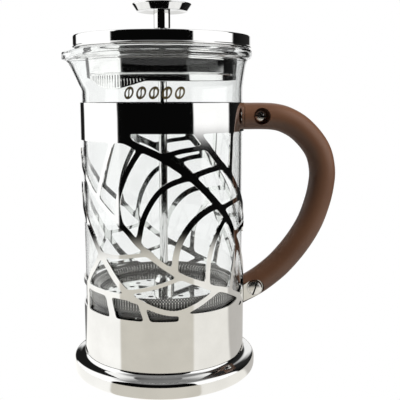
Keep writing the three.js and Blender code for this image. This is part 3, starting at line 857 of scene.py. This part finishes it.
def spring_piece():
    """The edge spring: one wire coiled round a ring."""
    turns, steps, sides, wire = 128, 12, 6, 0.36
    total = turns * steps
    vertices, faces, path, ring_line = [], [], [], []
    for i in range(total):
        a = TURN * i / total
        b = TURN * turns * i / total
        r = SPRING_R + (SPRING_MINOR - wire) * math.cos(b)
        z = SPRING_Z + (SPRING_MINOR - wire) * math.sin(b)
        path.append(Vector((r * math.cos(a), r * math.sin(a), z)))
        ring_line.append(Vector((SPRING_R * math.cos(a), SPRING_R * math.sin(a), SPRING_Z)))
    for i in range(total):
        tangent = (path[(i + 1) % total] - path[i - 1]).normalized()
        out = (path[i] - ring_line[i]).normalized()
        side = tangent.cross(out).normalized()
        for u, v in circle(1, sides):
            vertices.append(tuple(path[i] + wire * (u * out + v * side)))
    for i in range(total):
        n = (i + 1) % total
        for k in range(sides):
            j = (k + 1) % sides
            faces.append((i * sides + k, i * sides + j, n * sides + j, n * sides + k))
    coil = make("edge_coil", vertices, faces, "satin_steel", "filter", 80)
    coil.data.materials[0] = MATERIAL["spring_wire"]
    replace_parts(coil, "filter_spring")


def nut_piece():
    nut = make("hex_nut", *drum(NUT_R, NUT_LOW, NUT_HIGH, 6), "satin_steel", "filter")
    bm = bmesh.new()
    bm.from_mesh(nut.data)
    bmesh.ops.bevel(bm, geom=bm.edges, offset=NUT_BEVEL * MM, segments=2, affect="EDGES")
    bm.to_mesh(nut.data)
    bm.free()
    carve_piece(nut, [cutter(*drum(THREAD_R, 40, 46, 32))], 40)
    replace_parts(nut, "filter_nut")


def filter_pieces():
    boss = rounded([(ROD_BORE, BOSS_LOW), (BOSS_FOOT_R, BOSS_LOW, 0.3), (BOSS_FOOT_R, 49.9), (BOSS_R, 49.9),
                    (BOSS_R, 56, 0.8), (4.4, BOSS_HIGH, 0.6), (ROD_BORE, BOSS_HIGH), (ROD_BORE, BOSS_LOW)], 4)
    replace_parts(lathe("filter_boss", boss, "mirror_steel", "filter", 64), "filter_hub")
    perforated_plate("perforated_plate", 6.5, 38.6, 50.2, 51.1, [(14, 20.5, 1.6), (18, 31.5, 1.6)],
                     "mirror_steel", "filter_top_plate")
    perforated_plate("cross_plate", ROD_BORE, 36, 44.8, 45.6, [(12, 24, 2.4)],
                     "satin_steel", "filter_bottom_plate")
    spring_piece()
    cup = rounded([(ROD_BORE, 46), (38, 46, 1), (42.6, 46.3, 3), (44.8, 48, 2), (45.3, 50, 1),
                   (45.3, 57.2, 0.1), (45.1, 57.4, 0.1), (44.9, 57.2, 0.1), (44.85, 50, 1), (44.3, 48.3, 2),
                   (42.3, 46.8, 3), (38, 46.5, 1), (ROD_BORE, 46.5), (ROD_BORE, 46)], 5)
    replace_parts(lathe("woven_cup", cup, "steel_mesh", "filter", 160), "filter_mesh")
    nut_piece()


# ---------------------------------------------------------------- handle
def tab_outline(margin, steps=24):
    """Outline of the lower tab in (x, z), rounded about the lower screw."""
    r = TAB_R + margin
    left = SLEEVE_R + 0.3 - margin * 3
    line = [(left, 52.4 + margin * 2), (left, 41.9 - margin * 3)]
    for k in range(steps + 1):
        a = math.radians(-65 + 180 * k / steps)
        line.append((TAB_X + r * math.cos(a), TAB_Z + r * math.sin(a)))
    return line


def sleeve_drum(gap):
    """Cutter as wide as the sleeve, with a gap, that leaves a piece's end curved to it."""
    return cutter(*drum(SLEEVE_R + gap, 20, 190))


def handle_pieces():
    line = smooth_line([(46, BORE_Z), (53, BORE_Z), (60.5, BORE_Z), (68.5, 157.2), (75.6, 155.3),
                        (84, 150.6), (91.9, 142.8), (97, 134.6), (99.3, 124.8), (99.1, 116), (96.8, 104.5),
                        (91.9, 90.9), (84, 77.9), (74, 66), (65.5, 58.6), (57, 52.8), (46, 47.2)], 10)
    grip = solid_mesh(*sweep([(x, 0, z) for x, z in line], GRIP_R, 64))
    grip = carve(grip, [
        sleeve_drum(0.3),
        cutter(*bar_y(BORE_X, BORE_Z, BORE_R, -20, -2.3, 64)),
        cutter(*bar_y(BORE_X, BORE_Z, SCREW_HOLE_R, -20, 6.2)),
        cutter(*block((46, -1.1, 152.9), (68, 1.9, 162.5))),
        cutter(*slab_y(tab_outline(0.5), -20, -1.7)),
        cutter(*bar_y(TAB_X, TAB_Z, SCREW_HOLE_R, -20, 4.6)),
    ])
    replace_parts(place("d_grip", grip, "soft_touch_brown", "frame", 34), "handle_grip")

    tab = solid_mesh(*slab_y(tab_outline(0), -4.4, -2.0))
    tab = carve(tab, [sleeve_drum(0.15), cutter(*bar_y(TAB_X, TAB_Z, SCREW_HOLE_R, -9, 9))])
    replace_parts(place("lower_tab", tab, "mirror_steel", "frame", 34), "lower_bracket")

    tongue = solid_mesh(*block((48, -0.8, 153.2), (67.1, 1.6, 162.2)))
    tongue = carve(tongue, [sleeve_drum(0.15), cutter(*bar_y(BORE_X, BORE_Z, SCREW_HOLE_R, -9, 9))])
    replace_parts(place("upper_tongue", tongue, "satin_steel", "frame", 34), "upper_bracket")

    screw("upper_screw_head", BORE_X, BORE_Z, 3.6, -2.6, 5.8, 5, "upper_handle_screw")
    screw("lower_screw_head", TAB_X, TAB_Z, 4.9, -4.7, 4.2, -72, "lower_handle_screw")


def screw(name, x, z, head, under_y, tip_y, slot_degrees, node):
    """Domed slotted screw along Y, its head facing -Y and `head` in radius."""
    shank, brim, slot_half = 2, 0.3, 0.5
    rise = head * 0.42
    slot_floor = under_y - rise * 0.42
    profile = [(0, -tip_y), (shank, -tip_y), (shank, -under_y), (head - 0.2, -under_y), (head, 0.2 - under_y)]
    for a in np.linspace(math.pi / 2, 0, 14):
        profile.append((head * math.sin(a), max(rise * (0.2 + 0.8 * math.cos(a)), brim) - under_y))
    piece = lathe(name, profile, "mirror_steel", "frame", 64)
    piece.data.transform(Matrix.Rotation(math.pi / 2, 4, "X"))
    piece.data.transform(Matrix.Translation((x * MM, 0, z * MM)))
    turn = Matrix.Rotation(math.radians(slot_degrees), 3, "Y")
    vertices, faces = block((-head * 1.5, under_y - rise * 1.4, -slot_half),
                            (head * 1.5, slot_floor, slot_half))
    carve_piece(piece, [cutter(turned(vertices, turn, (x, 0, z)), faces)])
    piece.data.materials.clear()
    piece.data.materials.append(MATERIAL["screw_steel"])
    piece.data.materials.append(MATERIAL["painted_slot_shade"])
    # Faces on the slot's walls and floor take the near-black material: painted shade in the slot.
    back = turn.inverted()
    for face in piece.data.polygons:
        here = back @ (face.center / MM - Vector((x, 0, z)))
        on_wall = abs(here.z) < 0.52 and here.y < under_y - rise * 0.3 and abs(face.normal.y) < 0.995
        on_floor = abs(here.z) < 0.45 and abs(here.y - slot_floor) < 0.02
        if on_wall or on_floor:
            face.material_index = 1
    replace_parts(piece, node)


sleeve_piece()
base_piece()
glass_piece()
bean_marks()
lid_pieces()
strainer_piece()
plunger_pieces()
filter_pieces()
handle_pieces()


# ---------------------------------------------------------------- studio
# Cards round the object as (degrees, grey level or colour): 0 is the camera's side, more is towards
# the handle. The polished steel mirrors them; the camera itself sees a plain pale studio.
CARDS = [(-180, 0.78), (-163, 0.78), (-160, 0.01), (-141, 0.01), (-138, 1.0), (-67.5, 1.0), (-66, 0.002),
         (38, 0.002), (39.5, 1.0), (98, 1.0), (101, 0.004), (150, 0.02), (156, 0.78), (180, 0.78)]
HANDLE_CARD = (38.5, 99)
BRIGHT, SHADED, CREAM, DUSK = (1.12, 1.11, 1.08), (0.68, 0.65, 0.58), (0.95, 0.93, 0.88), (0.56, 0.54, 0.51)
TABLE_CARDS = [(-180, 0.5), (-163, 0.5), (-158, 0.16), (-141, 0.16), (-137, BRIGHT), (-69, BRIGHT),
               (-66.5, SHADED), (37.5, SHADED), (40, CREAM), (95, CREAM), (99, DUSK), (150, DUSK),
               (165, 0.5), (180, 0.5)]
TABLE_R, TABLE_SIDES, TABLE_AT = 0.56, 96, (0, -0.03, -0.0002)
TABLE_FADE = (0.35, 0.5)


def card_ramp(n, share, cards):
    return n.ramp(share, [((degrees + 180) / 360, level) for degrees, level in cards])


def round_angle(n, vector):
    """The vector's parts, and its way round the object as 0..1: 0.5 is the camera's side."""
    parts = n.add("ShaderNodeSeparateXYZ")
    n.link(vector, parts.inputs[0])
    azimuth = n.maths("ARCTAN2", parts.outputs["X"], n.maths("MULTIPLY", parts.outputs["Y"], -1))
    return parts, n.span(azimuth, 0.0, 1.0, -math.pi, math.pi)


def studio_world():
    """Soft white studio with dark flags, seen in reflections only; the camera sees plain white."""
    world = bpy.data.worlds.new("studio")
    bpy.context.scene.world = world
    world.use_nodes = True
    world.node_tree.nodes.clear()
    n = Nodes(world.node_tree)
    parts, share = round_angle(n, n.coords("Generated"))
    height = parts.outputs["Z"]
    # Above the eye line the cards lean towards the spout's side.
    share = n.maths("ADD", share, n.span(height, 0.0, 3.4 / 360, -0.03, 0.07))
    all_cards = card_ramp(n, share, CARDS)
    # Below the eye line the handle side's card ends, so that side is dark down to the table.
    low_cards = card_ramp(n, share, [card for card in CARDS if not HANDLE_CARD[0] < card[0] < HANDLE_CARD[1]])
    under = n.blend(height, -0.036, -0.075, all_cards, low_cards)
    reflected = n.add("ShaderNodeBackground")
    n.link(n.blend(height, 0.8, 0.93, under, 0.2), reflected.inputs["Color"])
    reflected.inputs["Strength"].default_value = 1.25
    plain = n.add("ShaderNodeBackground")
    plain.inputs["Color"].default_value = (1, 1, 1, 1)
    # Seen straight through the glass, the flags are pale; seen in polished steel, they stay dark.
    rays = n.add("ShaderNodeLightPath").outputs
    through = n.maths("MULTIPLY", rays["Is Transmission Ray"], n.span(rays["Glossy Depth"], 0.6, 0.0))
    seen = n.maths("MAXIMUM", rays["Is Camera Ray"], through)
    n.choose(seen, reflected.outputs[0], plain.outputs[0], "ShaderNodeOutputWorld")


def floor_piece():
    """Pale table top, plain white to the camera; the cards laid on it show in the polished steel."""
    mesh = bpy.data.meshes.new("table_top")
    mesh.from_pydata([(x, y, 0.0) for x, y in circle(TABLE_R, TABLE_SIDES)], [], [tuple(range(TABLE_SIDES))])
    material = bpy.data.materials.new("pale_table")
    material.use_nodes = True
    material.node_tree.nodes.clear()
    n = Nodes(material.node_tree)
    coords = n.coords()
    share = round_angle(n, coords)[1]
    rays = n.add("ShaderNodeLightPath").outputs
    fade = n.span(n.length(coords), 0.0, 1.0, TABLE_FADE[1], TABLE_FADE[0], "SMOOTHSTEP")
    dim = n.span(rays["Is Diffuse Ray"], 1.0, 0.4)
    lit = n.add("ShaderNodeEmission")
    n.link(card_ramp(n, share, TABLE_CARDS), lit.inputs["Color"])
    n.link(n.maths("MULTIPLY", fade, dim), lit.inputs["Strength"])
    plain = n.add("ShaderNodeEmission")
    plain.inputs["Color"].default_value = (1, 1, 1, 1)
    n.link(n.span(rays["Is Transmission Ray"], 1.0, 0.97), plain.inputs["Strength"])
    seen = n.maths("MAXIMUM", rays["Is Camera Ray"], rays["Is Transmission Ray"])
    n.choose(seen, lit.outputs[0], plain.outputs[0], "ShaderNodeOutputMaterial")
    mesh.materials.append(material)
    table = show("table_top", mesh)
    table.location = TABLE_AT


def key_light():
    """Soft lamp over the handle; it lights matt surfaces only, so the steel keeps its dark bands."""
    data = bpy.data.lights.new("key", "AREA")
    data.shape = "DISK"
    data.size = 0.12
    data.energy = 1.15
    lamp = show("key", data)
    lamp.location = (0.25, -0.14, 0.40)
    handle_top = Vector((0.085, 0.0, 0.15))
    lamp.rotation_euler = (handle_top - lamp.location).to_track_quat("-Z", "Y").to_euler()
    lamp.visible_glossy = False
    lamp.visible_transmission = False
    lamp.visible_camera = False


def add_camera():
    """Camera level with the top of the sleeve, about 42 cm from the axis."""
    azimuth, pitch, yaw = math.radians(-3.0), math.radians(8.54), math.radians(3.07)
    distance, height = 0.4191, 0.1694
    data = bpy.data.cameras.new("camera")
    data.lens = 61.93
    data.sensor_width = 36
    data.clip_start = 0.01
    camera = show("camera", data)
    camera.location = (distance * math.sin(azimuth), -distance * math.cos(azimuth), height)
    camera.rotation_euler = (math.pi / 2 - pitch, 0, azimuth - yaw)
    bpy.context.scene.camera = camera


studio_world()
floor_piece()
key_light()
add_camera()
bpy.context.scene.view_settings.view_transform = "Standard"
